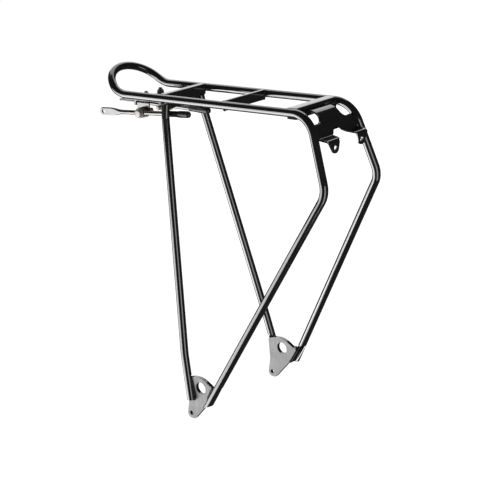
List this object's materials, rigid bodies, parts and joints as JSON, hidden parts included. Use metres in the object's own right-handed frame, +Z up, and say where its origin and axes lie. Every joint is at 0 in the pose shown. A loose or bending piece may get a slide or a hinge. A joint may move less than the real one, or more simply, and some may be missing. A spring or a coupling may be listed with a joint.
{
  "type": "bicycle rear rack",
  "caption": "Tubular rear luggage rack with an upturned front loop, flat dropout plates, a lamp bracket and two adjustable front stays.",
  "frame": {"origin": "midway between the centres of the two eyelet holes at the lower tips of the dropout plates", "axes": "+X towards the tail of the bicycle, +Y to the bicycle's right, +Z up; the platform lies level"},
  "size_m": [0.4016, 0.1834, 0.4309],
  "materials": {
    "black_paint": "gloss black powder coat over steel",
    "plate_steel": "satin light grey steel plate",
    "stainless": "bright drawn stainless steel",
    "zinc": "zinc plated steel fasteners",
    "rubber": "semi-matt moulded rubber"
  },
  "bodies": {
    "frame": {"main_hoop": "black_paint", "left_strut": "black_paint", "right_strut": "black_paint", "front_crossbar": "black_paint", "middle_crossbar": "black_paint", "rear_crossbar": "black_paint", "left_dropout": "plate_steel", "right_dropout": "plate_steel", "lamp_bracket": "black_paint", "bridge_plate": "black_paint", "stay_plate": "black_paint", "left_swivel_bolt": "zinc", "left_swivel_washer": "zinc", "left_swivel_nut": "zinc", "right_swivel_bolt": "zinc", "right_swivel_washer": "zinc", "right_swivel_nut": "zinc"},
    "left_swivel": {"left_stay_angle": "stainless"},
    "left_clamp": {"left_clamp_bolt": "zinc", "left_clamp_sleeve": "zinc", "left_clamp_washer": "zinc", "left_clamp_nut": "zinc"},
    "left_stay": {"left_stay_rod": "stainless", "left_end_cap": "rubber"},
    "right_swivel": {"right_stay_angle": "stainless"},
    "right_clamp": {"right_clamp_bolt": "zinc", "right_clamp_sleeve": "zinc", "right_clamp_washer": "zinc", "right_clamp_nut": "zinc"},
    "right_stay": {"right_stay_rod": "stainless", "right_end_cap": "rubber"}
  },
  "joints": [
    {"name": "left_stay_swivel", "type": "hinge", "parent": "frame", "child": "left_swivel", "pos_m": [-0.1052, -0.013, 0.38], "axis": [0, 0, 1], "range_deg": [0, 10]},
    {"name": "left_stay_tilt", "type": "hinge", "parent": "left_swivel", "child": "left_clamp", "pos_m": [-0.1052, -0.0248, 0.367], "axis": [0, 1, 0], "range_deg": [0, 30]},
    {"name": "left_stay_slide", "type": "slide", "parent": "left_clamp", "child": "left_stay", "axis": [0.9983, 0, 0.0576], "range_m": [-0.038, 0.018]},
    {"name": "right_stay_swivel", "type": "hinge", "parent": "frame", "child": "right_swivel", "pos_m": [-0.1052, 0.013, 0.38], "axis": [0, 0, 1], "range_deg": [-10, 0]},
    {"name": "right_stay_tilt", "type": "hinge", "parent": "right_swivel", "child": "right_clamp", "pos_m": [-0.1052, 0.0248, 0.367], "axis": [0, 1, 0], "range_deg": [-2, 30]},
    {"name": "right_stay_slide", "type": "slide", "parent": "right_clamp", "child": "right_stay", "axis": [0.9999, 0, -0.0157], "range_m": [-0.026, 0.03]}
  ]
}
